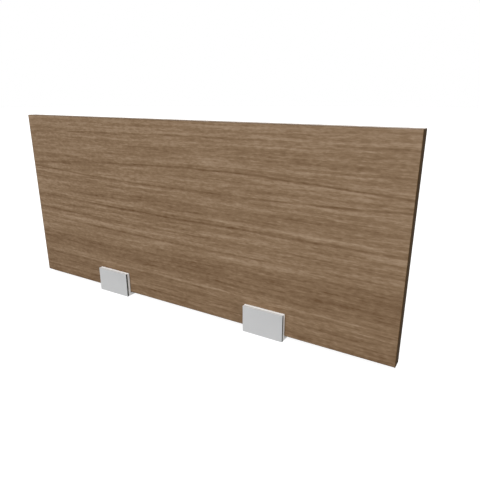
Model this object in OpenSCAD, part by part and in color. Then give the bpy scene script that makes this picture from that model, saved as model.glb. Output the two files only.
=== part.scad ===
// Desk privacy panel: a laminated board held upright by two edge clamps.
// X runs along the board, Y from its front to its back, Z up from the desk.
// The origin is on the desk, below the middle of the whole object.

/* [Board] */
// Length of the board
board_w = 800; // [600:10:1600]
// Height of the board
board_h = 350; // [200:10:600]
// Thickness of the chipboard core
core_t = 18; // [16:1:28]
// Thickness of the laminate on each face
laminate_t = 0.6; // [0.4:0.1:1.2]
// Thickness of the edge bands
edge_band_t = 1; // [0.4:0.1:2]

/* [Clamps] */
// Distance between the middles of the two clamps
clamp_spacing = 354; // [200:2:480]
// Width of each clamp along the board
clamp_w = 77; // [70:1:100]
// Height of the front plate
plate_h = 49; // [46:0.5:70]
// Thickness of the front plate
plate_t = 4; // [4:0.5:8]
// Thickness of the clamp body's front flange
front_flange_t = 5; // [3:0.5:6]
// Thickness of the clamp body's rear flange
rear_flange_t = 6; // [5:0.5:10]
// Thickness of the web under the board
web_t = 5.5; // [4:0.5:8]
// Thickness of the pads that touch the board
pad_t = 1.5; // [0.8:0.1:2]
// How far the base pad stands proud of the web
base_pad_proud = 0.5; // [0.3:0.1:1]
// How far the outer edges of the clamp body are rounded
body_round = 1; // [0.5:0.1:2]

/* [Pressure plate and clamp screws] */
// Thickness of the pressure plate
press_t = 4; // [4:0.5:6]
// Height of the pressure plate
press_h = 34; // [26:1:36]
// Gap between pressure plate and rear flange when the clamp is tight
open_gap = 4; // [2:0.5:6]
// Distance of each clamp screw from the clamp's middle
screw_x = 24; // [16:1:26]
// Height of the clamp screws above the web
screw_rise = 21; // [18:1:24]
// Nominal diameter of the clamp screws
screw_d = 6; // [5:1:8]
// Gap between screw head and rear flange when the clamp is tight
head_gap = 2; // [1:0.5:6]

/* [Desk fixing] */
// Distance of each tapped desk hole from the clamp's middle
desk_hole_x = 24; // [12:1:26]
// Drilled diameter of the tapped desk holes
desk_hole_d = 5; // [4:0.1:6.8]

/* [Hidden] */
$fn = 48;
// small step by which a cut runs past a face
eps = 0.5;
// radial room in a running fit and around a fixed screw
run_fit = 0.05;
// how far the pads stop short of the clamp's sides
pad_inset = 1;
// how far the base pad stops short of the web's edges
base_inset = 3;
// how far the pressure plate starts above the board's lower edge
press_lift = 2;
// room around a desk screw in the base pad
desk_hole_room = 1.5;

board_t = core_t + 2 * laminate_t;
head_h = screw_d;
head_r = screw_d * 5 / 6;
depth = plate_t + front_flange_t + pad_t + board_t + pad_t + press_t + open_gap
    + rear_flange_t + head_gap + head_h;

// planes across the depth, from front to back
plate_y = -depth / 2;
flange_y = plate_y + plate_t;
front_pad_y = flange_y + front_flange_t;
board_y = front_pad_y + pad_t;
rear_pad_y = board_y + board_t;
press_y = rear_pad_y + pad_t;
gap_y = press_y + press_t;
rear_flange_y = gap_y + open_gap;
body_end_y = rear_flange_y + rear_flange_t;
head_y = body_end_y + head_gap;
board_mid_y = board_y + board_t / 2;

// planes up the height
web_z = base_pad_proud;
seat_pad_z = web_z + web_t;
board_z = seat_pad_z + pad_t;
plate_top_z = web_z + plate_h;
press_z = board_z + press_lift;
rear_flange_top_z = press_z + press_h;
screw_z = seat_pad_z + screw_rise;

// clamp screw: a turned tip passes through the pressure plate and ends in a clip
shank_r = screw_d / 2 - run_fit;
tip_r = 2;
tip_end = 0.3;
tip_clear = 0.1;
counterbore_r = 4;
counterbore_depth = 2.2;
clip_t = 0.7;
clip_r = 3.4;
clip_play = 0.1;
groove_r = 1.5;
head_chamfer = 0.5;
hex_af = 5;
hex_r = hex_af / 2 / cos(30);
hex_depth = 3;

// countersunk screw that holds the front plate, in line with a clamp screw's hole
plate_screw_r = 2;
csk_head_r = 3.7;
csk_head_h = 1.7;
plate_screw_depth = 2.6;
plate_hole_depth = 3;
plate_socket_r = 1.4;
plate_socket_depth = 1;

left_x = -clamp_spacing / 2;
right_x = clamp_spacing / 2;

// a box from its lowest corner, with its width centred on x = 0
module slab(w, y, z, t, h) {
    translate([-w / 2, y, z]) cube([w, t, h]);
}

// a round bar along Y that starts at y
module bar_y(r, y, len, r2 = undef) {
    translate([0, y, 0]) rotate([-90, 0, 0])
        cylinder(h = len, r1 = r, r2 = is_undef(r2) ? r : r2);
}

// the cut for a hexagon key that goes in from the back, with its floor at y
module hex_socket(r, y, len) {
    translate([0, y, 0]) rotate([-90, 0, 0]) cylinder(h = len + eps, r = r, $fn = 6);
}

// copies its children to both sides of the clamp's middle
module both_sides(x) {
    for (side = [-1, 1]) translate([side * x, 0, 0]) children();
}

// --- board ---

module core_board() {
    color("#b08d62")
        slab(board_w - 2 * edge_band_t, board_y + laminate_t, board_z + edge_band_t,
            core_t, board_h - 2 * edge_band_t);
}

module laminate(y) {
    color("#86694c")
        slab(board_w - 2 * edge_band_t, y, board_z + edge_band_t,
            laminate_t, board_h - 2 * edge_band_t);
}

module long_edge_band(z) {
    color("#7d6146")
        slab(board_w - 2 * edge_band_t, board_y, z, board_t, edge_band_t);
}

module end_edge_band(side) {
    color("#7d6146")
        translate([side * (board_w - edge_band_t) / 2, 0, 0])
            slab(edge_band_t, board_y, board_z, board_t, board_h);
}

// --- clamp ---

// the channel's section, drawn with Y across and Z up
module body_section() {
    // web and front flange, whose outer corners meet the front plate
    translate([flange_y, web_z])
        square([rear_flange_y - flange_y + eps, web_t]);
    translate([flange_y, web_z])
        square([front_flange_t, plate_h]);
    // rear flange with rounded outer corners
    translate([rear_flange_y, web_z + body_round])
        square([rear_flange_t, rear_flange_top_z - web_z - 2 * body_round]);
    translate([rear_flange_y, web_z])
        square([rear_flange_t - body_round, rear_flange_top_z - web_z]);
    for (z = [web_z + body_round, rear_flange_top_z - body_round])
        translate([body_end_y - body_round, z]) circle(r = body_round);
}

module clamp_body() {
    color("#e9e9e7") difference() {
        translate([-clamp_w / 2, 0, 0]) rotate([90, 0, 90])
            linear_extrude(height = clamp_w) body_section();
        // tapped holes for the clamp screws
        both_sides(screw_x) translate([0, 0, screw_z])
            bar_y(screw_d / 2, rear_flange_y - eps, rear_flange_t + 2 * eps);
        // holes and countersinks for the front plate's screws
        both_sides(screw_x) translate([0, 0, screw_z]) {
            bar_y(plate_screw_r + run_fit, flange_y - eps, front_flange_t + 2 * eps);
            bar_y(plate_screw_r + run_fit, front_pad_y - csk_head_h,
                csk_head_h, csk_head_r + run_fit);
            bar_y(csk_head_r + run_fit, front_pad_y, eps);
        }
        // tapped holes for screws that come up through the desk
        both_sides(desk_hole_x) translate([0, board_mid_y, web_z - eps])
            cylinder(h = web_t + 2 * eps, d = desk_hole_d);
        // pocket for the base pad
        slab(clamp_w - 2 * base_inset, flange_y + base_inset, web_z - eps,
            body_end_y - flange_y - 2 * base_inset, base_pad_proud + eps);
    }
}

module front_plate() {
    color("#b9babb") difference() {
        slab(clamp_w, plate_y, web_z, plate_t, plate_h);
        both_sides(screw_x) translate([0, 0, screw_z])
            bar_y(plate_screw_r + run_fit, flange_y - plate_hole_depth,
                plate_hole_depth + eps);
    }
}

module plate_screws() {
    color("#8d8f92") both_sides(screw_x) translate([0, 0, screw_z]) difference() {
        union() {
            bar_y(plate_screw_r, flange_y - plate_screw_depth,
                plate_screw_depth + front_flange_t - csk_head_h);
            bar_y(plate_screw_r, front_pad_y - csk_head_h, csk_head_h, csk_head_r);
        }
        hex_socket(plate_socket_r, front_pad_y - plate_socket_depth, plate_socket_depth);
    }
}

module front_pad() {
    color("#cfcfcc")
        slab(clamp_w - 2 * pad_inset, front_pad_y, board_z, pad_t,
            plate_top_z - pad_inset - board_z);
}

module seat_pad() {
    color("#cfcfcc")
        slab(clamp_w - 2 * pad_inset, front_pad_y, seat_pad_z, board_t + 2 * pad_t, pad_t);
}

module base_pad() {
    color("#4a4b4d") difference() {
        slab(clamp_w - 2 * base_inset, flange_y + base_inset, 0,
            body_end_y - flange_y - 2 * base_inset, 2 * base_pad_proud);
        both_sides(desk_hole_x) translate([0, board_mid_y, -eps])
            cylinder(h = 2 * base_pad_proud + 2 * eps, r = desk_hole_d / 2 + desk_hole_room);
    }
}

// --- moving pieces ---

module pressure_plate() {
    color("#9a9c9f") difference() {
        slab(clamp_w - 4 * pad_inset, press_y, press_z, press_t, press_h);
        both_sides(screw_x) translate([0, 0, screw_z]) {
            bar_y(tip_r + tip_clear, press_y - eps, press_t + 2 * eps);
            bar_y(counterbore_r, press_y - eps, counterbore_depth + eps);
        }
    }
}

module rear_pad() {
    color("#cfcfcc")
        slab(clamp_w - 4 * pad_inset, rear_pad_y, press_z, pad_t, press_h);
}

// a cap-head screw whose turned tip carries a groove for its clip
module clamp_screw() {
    groove_w = clip_t + clip_play;
    groove_y = press_y + counterbore_depth - groove_w;
    color("#6f7275") translate([0, 0, screw_z]) difference() {
        union() {
            bar_y(groove_r, press_y + tip_end, press_t);
            bar_y(tip_r, press_y + tip_end, groove_y - press_y - tip_end);
            bar_y(tip_r, groove_y + groove_w, gap_y - groove_y - groove_w);
            bar_y(shank_r, gap_y, head_y - gap_y);
            bar_y(head_r, head_y, head_h - head_chamfer);
            bar_y(head_r, head_y + head_h - head_chamfer, head_chamfer,
                head_r - head_chamfer);
        }
        hex_socket(hex_r, head_y + head_h - hex_depth, hex_depth);
    }
}

module screw_clip() {
    clip_y = press_y + counterbore_depth - clip_t - clip_play / 2;
    color("#55575a") translate([0, 0, screw_z]) difference() {
        bar_y(clip_r, clip_y, clip_t);
        bar_y(groove_r + run_fit, clip_y - eps, clip_t + 2 * eps);
    }
}

core_board();
laminate(board_y);  // front_laminate
laminate(board_y + laminate_t + core_t);  // rear_laminate
long_edge_band(board_z + board_h - edge_band_t);  // top_edge_band
long_edge_band(board_z);  // bottom_edge_band
end_edge_band(-1);  // left_edge_band
end_edge_band(1);  // right_edge_band

translate([left_x, 0, 0]) clamp_body();  // left_clamp_body
translate([left_x, 0, 0]) front_plate();  // left_front_plate
translate([left_x, 0, 0]) plate_screws();  // left_plate_screws
translate([left_x, 0, 0]) front_pad();  // left_front_pad
translate([left_x, 0, 0]) seat_pad();  // left_seat_pad
translate([left_x, 0, 0]) base_pad();  // left_base_pad
translate([left_x, 0, 0]) pressure_plate();  // left_pressure_plate
translate([left_x, 0, 0]) rear_pad();  // left_rear_pad
translate([left_x - screw_x, 0, 0]) clamp_screw();  // left_outer_screw
translate([left_x + screw_x, 0, 0]) clamp_screw();  // left_inner_screw
translate([left_x - screw_x, 0, 0]) screw_clip();  // left_outer_clip
translate([left_x + screw_x, 0, 0]) screw_clip();  // left_inner_clip

translate([right_x, 0, 0]) clamp_body();  // right_clamp_body
translate([right_x, 0, 0]) front_plate();  // right_front_plate
translate([right_x, 0, 0]) plate_screws();  // right_plate_screws
translate([right_x, 0, 0]) front_pad();  // right_front_pad
translate([right_x, 0, 0]) seat_pad();  // right_seat_pad
translate([right_x, 0, 0]) base_pad();  // right_base_pad
translate([right_x, 0, 0]) pressure_plate();  // right_pressure_plate
translate([right_x, 0, 0]) rear_pad();  // right_rear_pad
translate([right_x + screw_x, 0, 0]) clamp_screw();  // right_outer_screw
translate([right_x - screw_x, 0, 0]) clamp_screw();  // right_inner_screw
translate([right_x + screw_x, 0, 0]) screw_clip();  // right_outer_clip
translate([right_x - screw_x, 0, 0]) screw_clip();  // right_inner_clip
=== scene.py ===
"""Desk privacy panel: a wood-grain board held upright by two clamps on its lower edge."""
import math

import bmesh
import bpy
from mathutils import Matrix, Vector


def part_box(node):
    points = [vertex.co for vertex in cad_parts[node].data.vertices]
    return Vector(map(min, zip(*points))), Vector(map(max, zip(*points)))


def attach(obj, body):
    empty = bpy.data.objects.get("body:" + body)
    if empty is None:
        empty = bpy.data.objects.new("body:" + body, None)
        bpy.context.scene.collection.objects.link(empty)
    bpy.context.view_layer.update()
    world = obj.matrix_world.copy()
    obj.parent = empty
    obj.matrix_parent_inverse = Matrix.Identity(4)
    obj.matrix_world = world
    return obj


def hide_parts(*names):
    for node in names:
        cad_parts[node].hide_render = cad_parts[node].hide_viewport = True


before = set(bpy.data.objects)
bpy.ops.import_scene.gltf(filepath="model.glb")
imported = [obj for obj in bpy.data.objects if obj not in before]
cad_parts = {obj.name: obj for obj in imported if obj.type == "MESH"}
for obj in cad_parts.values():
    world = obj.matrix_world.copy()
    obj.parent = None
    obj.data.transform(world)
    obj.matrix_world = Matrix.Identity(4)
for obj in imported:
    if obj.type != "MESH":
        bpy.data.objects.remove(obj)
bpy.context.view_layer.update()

MM = 0.001
SIDES = ("left", "right")
ENDS = ("outer", "inner")
scene = bpy.context.scene


# --- camera, floor and light ------------------------------------------------------------------

CAMERA_LENS = 34.22
CAMERA_SENSOR = 36.0
CAMERA_AZIMUTH = math.radians(31.13)
CAMERA_ELEVATION = math.radians(18.27)
CAMERA_SHIFT = 0.0087
CAMERA_CLIP = (0.01, 100.0)
# the camera's place from the middle of the board's front lower edge
CAMERA_FROM_BOARD = Vector((0.507, -0.6295, 0.3927))

STAGE_RADIUS = 14.0
FLOOR_TONE = 0.30
FLOOR_GLOW = 0.84
BACKDROP_TONE = 0.0
BACKDROP_GLOW = 1.0

# each sun: azimuth and height of where it stands, in degrees, strength, and how wide it is
SUNS = {
    "key": (3.0, 46.0, 2.33, 30.0),
    "right_fill": (82.0, 12.0, 0.80, 50.0),
    "rear_fill": (-156.0, 34.0, 2.0, 60.0),
}
# the surrounding light from straight below, from the side and from straight above
AMBIENT = (0.42, 0.26, 0.55)


def front_lower_middle():
    """The middle of the board's front lower edge."""
    skin_low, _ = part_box("front_laminate")
    band_low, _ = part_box("bottom_edge_band")
    return Vector((0.0, skin_low.y, band_low.z))


def make_camera():
    """The camera, in front of the board and past its right end, looking left and down."""
    data = bpy.data.cameras.new("camera")
    data.lens = CAMERA_LENS
    data.sensor_width = CAMERA_SENSOR
    data.shift_y = CAMERA_SHIFT
    data.clip_start, data.clip_end = CAMERA_CLIP
    camera = bpy.data.objects.new("camera", data)
    camera.location = front_lower_middle() + CAMERA_FROM_BOARD
    camera.rotation_euler = (math.pi / 2 - CAMERA_ELEVATION, 0.0, CAMERA_AZIMUTH)
    scene.collection.objects.link(camera)
    scene.camera = camera


def make_sun(name, azimuth, height, strength, width):
    """A sun whose light comes from an azimuth and a height, both in degrees."""
    data = bpy.data.lights.new(name, "SUN")
    data.energy = strength
    data.angle = math.radians(width)
    sun = bpy.data.objects.new(name, data)
    turn, rise = math.radians(azimuth), math.radians(height)
    # azimuth 0 stands in front of the board, and 90 to its right
    towards = Vector((
        math.sin(turn) * math.cos(rise),
        -math.cos(turn) * math.cos(rise),
        math.sin(rise),
    ))
    sun.rotation_euler = towards.to_track_quat("Z", "Y").to_euler()
    scene.collection.objects.link(sun)


def make_ambient():
    """Soft light from all around that grows towards the top, like a tent over the object."""
    world = bpy.data.worlds.new("ambient")
    world.use_nodes = True
    tree = world.node_tree
    direction = tree.nodes.new("ShaderNodeTexCoord")
    split = tree.nodes.new("ShaderNodeSeparateXYZ")
    level = tree.nodes.new("ShaderNodeMapRange")
    ramp = tree.nodes.new("ShaderNodeValToRGB")
    # the ramp runs from straight down to straight up, with the horizon in its middle
    level.inputs["From Min"].default_value = -1.0
    ramp.color_ramp.elements.new(0.5)
    for stop, strength in zip(ramp.color_ramp.elements, AMBIENT):
        stop.color = (strength, strength, strength, 1.0)
    tree.links.new(direction.outputs["Generated"], split.inputs[0])
    tree.links.new(split.outputs["Z"], level.inputs["Value"])
    tree.links.new(level.outputs["Result"], ramp.inputs["Fac"])
    tree.links.new(ramp.outputs["Color"], tree.nodes["Background"].inputs["Color"])
    scene.world = world


def stage_material(name, tone, glow):
    """A dull grey of its own tone and glow."""
    material = bpy.data.materials.new(name)
    material.use_nodes = True
    shader = material.node_tree.nodes["Principled BSDF"]
    shader.inputs["Base Color"].default_value = (tone, tone, tone, 1.0)
    shader.inputs["Roughness"].default_value = 1.0
    shader.inputs["Specular IOR Level"].default_value = 0.0
    shader.inputs["Emission Color"].default_value = (1.0, 1.0, 1.0, 1.0)
    shader.inputs["Emission Strength"].default_value = glow
    return material


def make_stage():
    """A round pale floor in a round white room."""
    bpy.ops.mesh.primitive_circle_add(vertices=96, radius=STAGE_RADIUS, fill_type="NGON")
    floor = bpy.context.object
    floor.name = "floor"
    floor.data.materials.append(stage_material("floor", FLOOR_TONE, FLOOR_GLOW))
    bpy.ops.mesh.primitive_uv_sphere_add(segments=64, ring_count=32, radius=STAGE_RADIUS)
    backdrop = bpy.context.object
    backdrop.name = "backdrop"
    backdrop.data.materials.append(stage_material("backdrop", BACKDROP_TONE, BACKDROP_GLOW))
    # the stage is seen, but doesn't light or shade the object
    for stage in (floor, backdrop):
        stage.visible_diffuse = False
        stage.visible_glossy = False
        stage.visible_shadow = False


# --- materials --------------------------------------------------------------------------------

# how pointed a surface is where an edge's wear starts to show, and where it shows in full
WEAR_SPAN = (0.52, 0.62)
# the part of a slow noise over which a clouded colour turns from dull to pale
CLOUD_SPAN = (0.3, 0.7)


class Nodes:
    """Short calls that add nodes to one material."""

    def __init__(self, name):
        self.material = bpy.data.materials.new(name)
        self.material.use_nodes = True
        self.tree = self.material.node_tree
        self.shader = self.tree.nodes["Principled BSDF"]

    def add(self, kind, **settings):
        node = self.tree.nodes.new(kind)
        for key, value in settings.items():
            setattr(node, key, value)
        return node

    def plug(self, value, socket):
        """Links an output to a socket, or sets a plain value on it."""
        if isinstance(value, bpy.types.NodeSocket):
            self.tree.links.new(value, socket)
        else:
            socket.default_value = value

    def math(self, operation, *values, clamp=False):
        node = self.add("ShaderNodeMath", operation=operation, use_clamp=clamp)
        for value, socket in zip(values, node.inputs):
            self.plug(value, socket)
        return node.outputs[0]

    def place(self):
        """The point's x, y and z in the object's own frame, in metres."""
        split = self.add("ShaderNodeSeparateXYZ")
        self.plug(self.add("ShaderNodeTexCoord").outputs["Object"], split.inputs[0])
        return split.outputs[0], split.outputs[1], split.outputs[2]

    def vector(self, x, y, z):
        node = self.add("ShaderNodeCombineXYZ")
        for value, socket in zip((x, y, z), node.inputs):
            self.plug(value, socket)
        return node.outputs[0]

    def noise(self, vector, scale=1.0, detail=2.0, roughness=0.5):
        node = self.add("ShaderNodeTexNoise", noise_dimensions="3D")
        self.plug(vector, node.inputs["Vector"])
        node.inputs["Scale"].default_value = scale
        node.inputs["Detail"].default_value = detail
        node.inputs["Roughness"].default_value = roughness
        return node.outputs["Fac"]

    def span(self, value, low, high, to_low=0.0, to_high=1.0):
        """Maps low..high smoothly to to_low..to_high, and holds it there beyond."""
        node = self.add("ShaderNodeMapRange", interpolation_type="SMOOTHSTEP")
        for item, socket in zip((value, low, high, to_low, to_high), node.inputs):
            self.plug(item, socket)
        return node.outputs[0]

    def varied(self, noise, level, more):
        """Adds up to more to a level, as a noise goes from 0 to 1."""
        return self.math("MULTIPLY_ADD", noise, more, level)

    def mix(self, share, first, second):
        node = self.add("ShaderNodeMix", data_type="RGBA")
        self.plug(share, node.inputs["Factor"])
        for value, name in ((first, "A"), (second, "B")):
            socket = [s for s in node.inputs if s.name == name and s.type == "RGBA"][0]
            self.plug(value if hasattr(value, "links") else (*value, 1.0), socket)
        return [s for s in node.outputs if s.type == "RGBA"][0]

    def bump(self, height, strength, distance):
        node = self.add("ShaderNodeBump")
        self.plug(height, node.inputs["Height"])
        node.inputs["Strength"].default_value = strength
        node.inputs["Distance"].default_value = distance
        self.plug(node.outputs[0], self.shader.inputs["Normal"])

    def clouded(self, noise, dull, pale):
        """A colour that drifts between dull and pale."""
        return self.mix(self.span(noise, *CLOUD_SPAN), dull, pale)

    def worn(self, colour, share, bare):
        """A colour that gives way to a bare one on the object's convex edges."""
        pointiness = self.add("ShaderNodeNewGeometry").outputs["Pointiness"]
        wear = self.math("MULTIPLY", self.span(pointiness, *WEAR_SPAN), share)
        return self.mix(wear, colour, bare)

    def set(self, **sockets):
        """Sets or links the shader's sockets, named with _ for a space."""
        for name, value in sockets.items():
            self.plug(value, self.shader.inputs[name.replace("_", " ")])


WOOD_PALE = (0.440, 0.316, 0.212)
WOOD_MID = (0.256, 0.165, 0.093)
WOOD_DARK = (0.120, 0.058, 0.021)

# the board's leading streaks, dark if their strength is below 0 and pale above: height at the
# left end and rise to the right end, both as shares of the board's height, bow at the middle,
# half width in mm, and strength
STREAKS = (
    (0.905, 0.015, 0.014, 3.0, -0.42),
    (0.882, 0.012, 0.010, 3.0, 0.26),
    (0.800, 0.000, 0.010, 3.0, 0.14),
    (0.738, 0.022, 0.050, 3.0, 0.24),
    (0.716, 0.022, 0.044, 3.2, -0.62),
    (0.702, -0.015, -0.036, 3.2, -0.58),
    (0.676, -0.012, -0.028, 3.4, 0.30),
    (0.546, -0.020, -0.010, 3.6, 0.30),
    (0.526, -0.022, -0.014, 3.2, -0.50),
    (0.500, -0.010, -0.006, 3.0, 0.16),
    (0.439, -0.015, -0.008, 2.4, -0.40),
    (0.408, -0.010, -0.010, 3.0, 0.18),
    (0.388, -0.015, -0.018, 3.0, -0.44),
    (0.358, -0.010, -0.004, 3.0, 0.18),
    (0.300, -0.012, -0.006, 3.0, -0.24),
    (0.246, -0.016, -0.010, 3.2, -0.28),
    (0.205, -0.008, 0.000, 3.0, -0.20),
    (0.160, -0.010, 0.000, 3.2, 0.20),
    (0.142, -0.012, 0.006, 3.0, -0.30),
    (0.122, -0.008, -0.002, 3.0, 0.20),
    (0.090, -0.014, 0.000, 2.4, -0.30),
    (0.052, -0.004, 0.000, 2.4, -0.26),
)
# broad, soft bands, told in the same way: the first is a darker band of the figure, and the other
# two are painted shade that darkens the board towards its bottom edge
BANDS_AND_BOTTOM_SHADE = (
    (0.270, -0.012, -0.010, 34.0, -0.34),
    (0.080, 0.000, 0.000, 80.0, -0.20),
    (0.000, 0.000, 0.000, 16.0, -0.30),
)


def streaks_at(n, table, along, across, total=0.0):
    """Adds the strength of a table's streaks at a point of the board to total."""
    lower_edge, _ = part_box("bottom_edge_band")
    end_low, end_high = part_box("right_edge_band")
    height = end_high.z - end_low.z
    length = 2 * end_high.x
    share = n.math("MULTIPLY_ADD", along, 1 / length, 0.5)
    arch = n.math("MULTIPLY", share, n.math("SUBTRACT", 1.0, share))
    for start, rise, bow, half_width, strength in table:
        middle = n.math("MULTIPLY_ADD", share, rise * height, lower_edge.z + start * height)
        middle = n.math("MULTIPLY_ADD", arch, 4 * bow * height, middle)
        gap = n.math("ABSOLUTE", n.math("SUBTRACT", across, middle))
        total = n.math("ADD", n.span(gap, 0.0, half_width * MM, strength, 0.0), total)
    return total


# layers of grain: cells per metre along and across it, detail, roughness, and weight
GRAIN = {
    "bands": (0.9, 20.0, 1.0, 0.5, 0.25),
    "veins": (1.5, 88.0, 2.0, 0.5, 0.85),
    "strands": (6.5, 150.0, 3.0, 0.6, 1.40),
    "lines": (26.0, 330.0, 3.0, 0.62, 1.35),
    "flecks": (110.0, 200.0, 2.0, 0.5, 0.90),
    "fibres": (120.0, 900.0, 2.0, 0.5, 1.00),
}
# each layer reads the noise this far from the last one
LAYER_STEP = 10.0
# how the grain wavers: cells per metre along and across it, place in the noise, reach in mm
WAVERS = (
    (2.2, 5.0, 0.0, 10.0),
    (13.0, 36.0, 3.0, 3.0),
)
# how a streak's strength changes along it: cells per metre along and across the grain, detail,
# and the stretch of the noise that maps to the least and the most of its strength
RAGGED_CELLS = (7.0, 140.0)
RAGGED_DETAIL = 3.0
RAGGED_SPAN = (0.36, 0.60, 0.60, 1.15)
# fine dark pores: cells per metre along and across the grain, the stretch of the noise that
# makes them, and what they add to the figure, the roughness and the relief
PORE_CELLS = (80.0, 1500.0)
PORE_SPAN = (0.64, 0.72)
PORE_SHADE = -0.20
PORE_ROUGHNESS = 0.12
PORE_RELIEF = -0.6


def wood(name, seed, upright=False, tone=1.0, depth=1.0, gloss=0.32, streaks=False):
    """Brown wood-grain laminate, whose grain runs along X, or along Z if it is upright.

    tone is how light it is, and on the edge bands it also holds painted shade; depth is how
    strong its colour is.
    """
    n = Nodes(name)
    x, y, z = n.place()
    along = z if upright else x
    # the grain of an edge carries on from the front face's
    front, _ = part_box("front_laminate")
    across = y if upright else n.math("ADD", z, n.math("SUBTRACT", y, front.y))

    def grain(line, per_metre_along, per_metre_across, shift, detail=2.0, roughness=0.5):
        """Noise drawn out along the grain. line tells the lines of grain apart."""
        return n.noise(n.vector(
            n.math("MULTIPLY", along, per_metre_along),
            n.math("MULTIPLY", line, per_metre_across),
            seed + shift), detail=detail, roughness=roughness)

    # the lines of grain waver slowly along their length
    bent = across
    for *cells, shift, reach in WAVERS:
        waver = n.math("SUBTRACT", grain(across, *cells, shift), 0.5)
        bent = n.math("MULTIPLY_ADD", waver, reach * MM, bent)

    # the figure is 0 on average, below it where the wood is darker and above it where paler
    figure = -0.5 * sum(weight for *_, weight in GRAIN.values())
    layers = {}
    shift = 0.0
    for key, (*cells, detail, roughness, weight) in GRAIN.items():
        shift += LAYER_STEP
        layers[key] = grain(bent, *cells, shift, detail, roughness)
        figure = n.math("MULTIPLY_ADD", layers[key], weight, figure)
    shift += LAYER_STEP
    if streaks:
        ragged = n.span(grain(bent, *RAGGED_CELLS, shift, RAGGED_DETAIL), *RAGGED_SPAN)
        marks = n.math("MULTIPLY", streaks_at(n, STREAKS, along, bent), ragged)
        # the broad bands add a darker band of the figure and painted shade towards the bottom
        # edge
        figure = n.math("ADD", streaks_at(n, BANDS_AND_BOTTOM_SHADE, along, across, marks), figure)
    shift += LAYER_STEP
    pore = n.span(grain(bent, *PORE_CELLS, shift), *PORE_SPAN)
    figure = n.varied(pore, figure, more=PORE_SHADE)

    colour = n.mix(n.math("MULTIPLY", figure, 1.0, clamp=True), WOOD_MID, WOOD_PALE)
    colour = n.mix(n.math("MULTIPLY", figure, -1.0, clamp=True), colour, WOOD_DARK)
    if tone != 1.0:
        shade = n.add("ShaderNodeHueSaturation")
        n.plug(colour, shade.inputs["Color"])
        shade.inputs["Value"].default_value = tone
        shade.inputs["Saturation"].default_value = depth
        colour = shade.outputs[0]

    rough = n.varied(layers["fibres"], level=0.46, more=0.14)
    rough = n.varied(pore, rough, more=PORE_ROUGHNESS)
    n.set(Base_Color=colour, Roughness=rough, Specular_IOR_Level=gloss)
    relief = n.math("ADD", layers["fibres"], layers["lines"])
    relief = n.varied(pore, relief, more=PORE_RELIEF)
    n.bump(relief, strength=0.16, distance=0.15 * MM)
    return n.material


CHIP_BROWN = (0.42, 0.29, 0.17)
CHIP_PALE = (0.62, 0.47, 0.30)
CHIPS_PER_METRE = 260.0
# how many times wider than thick a chip is
CHIP_FLATNESS = 3.0


def chipboard():
    """Pressed chips of pale and brown wood, lying flat in the board."""
    n = Nodes("chipboard")
    x, y, z = n.place()
    chips = n.add("ShaderNodeTexVoronoi", feature="F1")
    n.plug(n.vector(x, n.math("MULTIPLY", y, CHIP_FLATNESS), z), chips.inputs["Vector"])
    chips.inputs["Scale"].default_value = CHIPS_PER_METRE
    split = n.add("ShaderNodeSeparateColor")
    n.plug(chips.outputs["Color"], split.inputs[0])
    colour = n.mix(split.outputs[0], CHIP_BROWN, CHIP_PALE)
    rough = n.span(split.outputs[1], low=0.0, high=1.0, to_low=0.7, to_high=0.95)
    n.set(Base_Color=colour, Roughness=rough)
    n.bump(chips.outputs["Distance"], strength=0.4, distance=0.3 * MM)
    return n.material


def powder_coat():
    """White powder coat with a fine pebbled skin, a little brighter on its edges."""
    n = Nodes("powder_coat")
    spot = n.add("ShaderNodeTexCoord").outputs["Object"]
    pebbles = n.noise(spot, scale=1500.0, detail=2.0)
    cloud = n.noise(spot, scale=28.0, detail=3.0)
    colour = n.clouded(cloud, dull=(0.86, 0.86, 0.85), pale=(0.91, 0.91, 0.90))
    colour = n.worn(colour, share=0.35, bare=(0.94, 0.94, 0.94))
    rough = n.varied(pebbles, level=0.36, more=0.16)
    n.set(Base_Color=colour, Roughness=rough, Specular_IOR_Level=0.45)
    n.bump(pebbles, strength=0.22, distance=0.08 * MM)
    return n.material


# the brushed grain: cells per metre along and across it, the share of the dull colour that
# its lines keep, and how strongly they show
BRUSH_ALONG = 60.0
BRUSH_ACROSS = 3200.0
BRUSH_TONE = 0.82
BRUSH_SHARE = 0.16


def satin_lacquer(name, pale, dull, bare):
    """Satin lacquer over metal, with a faint brushed grain along X."""
    n = Nodes(name)
    x, y, z = n.place()
    brushed = n.noise(n.vector(
        n.math("MULTIPLY", x, BRUSH_ALONG),
        n.math("MULTIPLY", y, BRUSH_ACROSS),
        n.math("MULTIPLY", z, BRUSH_ACROSS)), detail=2.0)
    cloud = n.noise(n.vector(x, y, z), scale=22.0, detail=3.0)
    lines = n.span(brushed, low=0.35, high=0.65, to_high=BRUSH_SHARE)
    line_colour = [BRUSH_TONE * channel for channel in dull]
    colour = n.mix(lines, n.clouded(cloud, dull, pale), line_colour)
    colour = n.worn(colour, share=0.4, bare=bare)
    rough = n.varied(brushed, level=0.38, more=0.14)
    n.set(Base_Color=colour, Roughness=rough, Metallic=0.12, Specular_IOR_Level=0.4)
    n.bump(brushed, strength=0.10, distance=0.05 * MM)
    return n.material


def zinc(name, pale, dull):
    """Plated steel with a cloudy, slightly bright skin."""
    n = Nodes(name)
    spot = n.add("ShaderNodeTexCoord").outputs["Object"]
    cloud = n.noise(spot, scale=240.0, detail=4.0, roughness=0.6)
    grain = n.noise(spot, scale=1900.0, detail=2.0)
    colour = n.clouded(cloud, dull, pale)
    colour = n.worn(colour, share=0.5, bare=(0.8, 0.8, 0.81))
    rough = n.varied(cloud, level=0.24, more=0.22)
    n.set(Base_Color=colour, Roughness=rough, Metallic=0.85)
    n.bump(grain, strength=0.12, distance=0.04 * MM)
    return n.material


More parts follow.
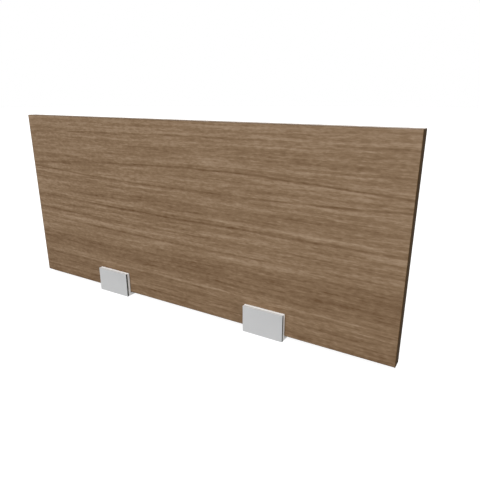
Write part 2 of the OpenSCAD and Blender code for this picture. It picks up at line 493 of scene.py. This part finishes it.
def soft_pad(name, pale, dull):
    """Moulded rubber with a fine pebbled skin and dust in it."""
    n = Nodes(name)
    spot = n.add("ShaderNodeTexCoord").outputs["Object"]
    pebbles = n.noise(spot, scale=1300.0, detail=2.0)
    dust = n.noise(spot, scale=60.0, detail=4.0)
    colour = n.mix(n.span(dust, low=0.35, high=0.7), dull, pale)
    rough = n.varied(pebbles, level=0.58, more=0.2)
    n.set(Base_Color=colour, Roughness=rough, Specular_IOR_Level=0.3)
    n.bump(pebbles, strength=0.3, distance=0.08 * MM)
    return n.material


def make_materials():
    """Every material by name. A clamp's soft-edged pieces take the one named as their slot."""
    return {
        "core": chipboard(),
        "front": wood("wood_front", 1.7, streaks=True),
        "rear": wood("wood_rear", 43.0, streaks=True),
        # the edge bands are darker copies of the face's wood, partly a darker edging and partly
        # painted shade, darkest on the ends that face away from the light
        "long_edge": wood("wood_long_edge_painted_shade", 1.7, tone=0.60, gloss=0.20),
        "end_edge": wood(
            "wood_end_edge_painted_shade", 21.0, upright=True, tone=0.26, depth=1.25, gloss=0.05),
        "clamp_body": powder_coat(),
        "front_plate": satin_lacquer(
            "grey_lacquer", (0.610, 0.612, 0.616), (0.572, 0.575, 0.580), (0.72, 0.72, 0.72)),
        # the front plate's left and right ends: a near-black painted shade for the sides that
        # face away from the light
        "plate_end_shade": satin_lacquer(
            "painted_shade_plate_end", (0.036, 0.040, 0.038), (0.024, 0.028, 0.026), (0.12, 0.13, 0.12)),
        "pad": soft_pad("grey_pad", (0.46, 0.455, 0.445), (0.38, 0.376, 0.37)),
        "base_pad": soft_pad("dark_pad", (0.09, 0.09, 0.093), (0.055, 0.055, 0.058)),
        "pressure_plate": zinc("zinc_plate", (0.62, 0.63, 0.65), (0.45, 0.46, 0.48)),
        "screw": zinc("zinc_screw", (0.55, 0.56, 0.58), (0.38, 0.39, 0.41)),
        "clip": zinc("phosphated_clip", (0.16, 0.16, 0.17), (0.08, 0.08, 0.09)),
    }


# --- pieces -----------------------------------------------------------------------------------

# corners closer than this are one
WELD = 0.001 * MM
# faces that meet at less than this angle are one
FLAT_LIMIT = math.radians(1)
# edges whose faces meet at more than this angle are rounded off
SHARP_LIMIT = math.radians(35)
# edges whose faces meet at more than this angle are shaded as sharp
SMOOTH_LIMIT = math.radians(40)
# the least part of a face's normal along X that makes it part of an end, so that an end takes in
# its rounded edges; the ends take a near-black painted shade
SHADED_END_FACING = 0.3


def new_piece(name, bm, material):
    """Makes an object of a closed mesh, smooth across its gentle edges."""
    bmesh.ops.recalc_face_normals(bm, faces=bm.faces)
    mesh = bpy.data.meshes.new(name)
    bm.to_mesh(mesh)
    bm.free()
    mesh.polygons.foreach_set("use_smooth", [True] * len(mesh.polygons))
    mesh.set_sharp_from_angle(angle=SMOOTH_LIMIT)
    mesh.materials.append(material)
    piece = bpy.data.objects.new(name, mesh)
    scene.collection.objects.link(piece)
    return piece


def settle(piece, body, node):
    """Joins a piece to its body, and lets it stand for its CAD node."""
    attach(piece, body)
    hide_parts(node)


def even_normals(piece):
    """Keeps large flat faces flat beside their rounded edges."""
    modifier = piece.modifiers.new("even_normals", "WEIGHTED_NORMAL")
    modifier.keep_sharp = True


def softened(node, width, body, material):
    """A copy of a CAD node with its sharp edges rounded off by width."""
    bm = bmesh.new()
    bm.from_mesh(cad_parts[node].data)
    bmesh.ops.remove_doubles(bm, verts=bm.verts, dist=WELD)
    bmesh.ops.dissolve_limit(bm, angle_limit=FLAT_LIMIT, verts=bm.verts, edges=bm.edges)
    sharp = [e for e in bm.edges if e.is_manifold and e.calc_face_angle() > SHARP_LIMIT]
    bmesh.ops.bevel(
        bm, geom=sharp, offset=width, segments=3, profile=0.5, affect="EDGES",
        clamp_overlap=True)
    piece = new_piece(node + "_shape", bm, material)
    even_normals(piece)
    settle(piece, body, node)
    return piece


def paint_shade_on_ends(piece, material):
    """Gives a piece's left and right ends a material of their own, a near-black painted shade."""
    piece.data.materials.append(material)
    for polygon in piece.data.polygons:
        if abs(polygon.normal.x) > SHADED_END_FACING:
            polygon.material_index = 1


def edge_band(node, outward, width, material):
    """An edge band whose outer edges are rounded and whose inner ones stay tight."""
    low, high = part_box(node)
    bm = bmesh.new()
    bmesh.ops.create_cube(bm, size=1.0)
    for v in bm.verts:
        v.co = Vector(
            low[i] + (v.co[i] + 0.5) * (high[i] - low[i]) for i in range(3))
    face = max(bm.faces, key=lambda f: f.normal.dot(outward))
    rounded = list(face.edges)
    if not outward.x:
        # a long band ends against the end bands, so only its edges along X are rounded
        rounded = [e for e in rounded if e.verts[0].co.x != e.verts[1].co.x]
    bmesh.ops.bevel(bm, geom=rounded, offset=width, segments=4, profile=0.5, affect="EDGES")
    piece = new_piece(node + "_shape", bm, material)
    even_normals(piece)
    settle(piece, "board", node)


# points around the screw, rings in each turn of its thread, and rings over which the thread
# runs out into the plain shank at each end
SCREW_STEPS = 96
THREAD_RINGS = 10
FADE_RINGS = 6
# the shank's radius at the thread's crest and root, and the thread's pitch
SCREW_MAJOR = 2.95 * MM
SCREW_MINOR = 2.45 * MM
SCREW_PITCH = 1.0 * MM
# the shares of half a pitch that the flat root and the slanted flank take
THREAD_ROOT = 0.12
THREAD_FLANK = 0.72
HEAD_RADIUS = 5.0 * MM
HEAD_HEIGHT = 6.0 * MM
KNURL_DEPTH = 0.16 * MM
KNURLS = 32
# how far from the head's top and foot the knurls stop
KNURL_MARGIN = 0.70 * MM
# the head's rounded top and foot: distances down from each, and in from the full radius
HEAD_TOP = ((0.0, 0.75 * MM), (0.10 * MM, 0.50 * MM), (0.40 * MM, 0.24 * MM))
HEAD_FOOT = ((-0.40 * MM, 0.20 * MM), (0.0, 0.35 * MM))
# the hexagon socket: its width across flats, its depth, the depth and width of the chamfer at
# its mouth, and the share of its bottom's radius that one face closes
HEX_WIDTH = 5.0 * MM
HEX_DEPTH = 3.0 * MM
MOUTH_DEPTH = 0.35 * MM
MOUTH_WIDTH = 0.1 * MM
HEX_MIDDLE = 0.3
# the tip turns in the pressure plate and stops short of its front face
TIP_RADIUS = 2.0 * MM
TIP_CLEARANCE = 0.3 * MM
END_CHAMFER = 0.3 * MM
PLATE_THICK = 4.0 * MM
# the clip sits in the tip's groove, at the bottom of the plate's counterbore
GROOVE_RADIUS = 1.5 * MM
GROOVE_WIDTH = 0.8 * MM
COUNTERBORE = 2.2 * MM


def hexagon(angle):
    """The hexagon's radius at an angle."""
    sector = math.pi / 3
    return HEX_WIDTH / 2 / math.cos(angle % sector - sector / 2)


def knurled(angle):
    """The head's radius at an angle, with its upright ridges."""
    wave = abs(math.sin(angle * KNURLS / 2))
    return HEAD_RADIUS - KNURL_DEPTH * (1 - wave)


def threaded(angle, along):
    """The shank's radius at an angle and a distance along a right-hand thread."""
    phase = (along / SCREW_PITCH - angle / (2 * math.pi)) % 1.0
    flank = min(max((abs(phase - 0.5) * 2 - THREAD_ROOT) / THREAD_FLANK, 0.0), 1.0)
    return SCREW_MINOR + (SCREW_MAJOR - SCREW_MINOR) * flank


def screw_rings(length):
    """(distance from the head's end, radius at each angle) down the screw, from socket to tip."""
    def around(radius):
        return [radius] * SCREW_STEPS

    angles = [2 * math.pi * i / SCREW_STEPS for i in range(SCREW_STEPS)]
    hexed = [hexagon(a) for a in angles]
    ridged = [knurled(a) for a in angles]
    mouth = HEX_WIDTH / 2 / math.cos(math.pi / 6) + MOUTH_WIDTH
    rings = [(HEX_DEPTH, [HEX_MIDDLE * r for r in hexed]), (HEX_DEPTH, hexed)]
    rings += [(MOUTH_DEPTH, hexed), (0.0, around(mouth))]
    rings += [(down, around(HEAD_RADIUS - inwards)) for down, inwards in HEAD_TOP]
    rings += [(KNURL_MARGIN, ridged), (HEAD_HEIGHT - KNURL_MARGIN, ridged)]
    rings += [
        (HEAD_HEIGHT + down, around(HEAD_RADIUS - inwards)) for down, inwards in HEAD_FOOT]
    rings.append((HEAD_HEIGHT, around(SCREW_MAJOR)))
    shank_end = length - PLATE_THICK + TIP_CLEARANCE
    step = SCREW_PITCH / THREAD_RINGS
    count = int((shank_end - HEAD_HEIGHT) / step) - FADE_RINGS
    for i in range(1, count):
        down = HEAD_HEIGHT + i * step
        fade = min(1.0, (i - 1) / FADE_RINGS, (count - 1 - i) / FADE_RINGS)
        rings.append((down, [
            SCREW_MAJOR + fade * (threaded(a, -down) - SCREW_MAJOR) for a in angles]))
    rings.append((shank_end, around(SCREW_MAJOR - END_CHAMFER)))
    rings.append((shank_end, around(TIP_RADIUS)))
    groove = shank_end + PLATE_THICK - COUNTERBORE
    for down, radius in (
        (groove, TIP_RADIUS), (groove, GROOVE_RADIUS),
        (groove + GROOVE_WIDTH, GROOVE_RADIUS), (groove + GROOVE_WIDTH, TIP_RADIUS),
        (length - END_CHAMFER, TIP_RADIUS), (length, TIP_RADIUS - END_CHAMFER),
    ):
        rings.append((down, around(radius)))
    return rings


def clamp_screw(node, body, material):
    """A cap-head screw with a knurled head, a hexagon socket and a real thread."""
    low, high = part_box(node)
    centre = (low + high) / 2
    bm = bmesh.new()
    loops = []
    for down, radii in screw_rings(high.y - low.y):
        loop = []
        for i, radius in enumerate(radii):
            angle = 2 * math.pi * i / SCREW_STEPS
            loop.append(bm.verts.new((
                centre.x + radius * math.sin(angle),
                high.y - down,
                centre.z + radius * math.cos(angle),
            )))
        loops.append(loop)
    for first, second in zip(loops, loops[1:]):
        for i in range(SCREW_STEPS):
            j = (i + 1) % SCREW_STEPS
            bm.faces.new((first[i], first[j], second[j], second[i]))
    bm.faces.new(loops[0])
    bm.faces.new(loops[-1])
    piece = new_piece(node + "_shape", bm, material)
    settle(piece, body, node)


def paint(node, material):
    """Gives a CAD node its finished material."""
    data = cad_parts[node].data
    data.materials.clear()
    data.materials.append(material)


def make_board(materials):
    """The core, the two laminates and the four edge bands."""
    paint("core_board", materials["core"])
    paint("front_laminate", materials["front"])
    paint("rear_laminate", materials["rear"])
    edge_round = 0.6 * MM
    edge_band("top_edge_band", Vector((0, 0, 1)), edge_round, materials["long_edge"])
    edge_band("bottom_edge_band", Vector((0, 0, -1)), edge_round, materials["long_edge"])
    edge_band("left_edge_band", Vector((-1, 0, 0)), edge_round, materials["end_edge"])
    edge_band("right_edge_band", Vector((1, 0, 0)), edge_round, materials["end_edge"])


def make_clamp(side, materials):
    """One clamp: its body, plate and pads, its presser, and its screws and clips."""
    clamp, presser = side + "_clamp", side + "_presser"
    for part, body, width, slot in (
        ("clamp_body", clamp, 0.25 * MM, "clamp_body"),
        ("front_plate", clamp, 0.35 * MM, "front_plate"),
        ("front_pad", clamp, 0.15 * MM, "pad"),
        ("seat_pad", clamp, 0.15 * MM, "pad"),
        ("base_pad", clamp, 0.20 * MM, "base_pad"),
        ("pressure_plate", presser, 0.35 * MM, "pressure_plate"),
        ("rear_pad", presser, 0.15 * MM, "pad"),
    ):
        piece = softened(side + "_" + part, width, body, materials[slot])
        # the plate's left and right ends get a near-black painted shade
        if part == "front_plate":
            paint_shade_on_ends(piece, materials["plate_end_shade"])
    paint(side + "_plate_screws", materials["screw"])
    for end in ENDS:
        name = side + "_" + end
        clamp_screw(name + "_screw", name + "_screw", materials["screw"])
        paint(name + "_clip", materials["clip"])


def main():
    make_camera()
    make_stage()
    make_ambient()
    for name, settings in SUNS.items():
        make_sun(name, *settings)
    scene.view_settings.view_transform = "Standard"
    materials = make_materials()
    make_board(materials)
    for side in SIDES:
        make_clamp(side, materials)


main()
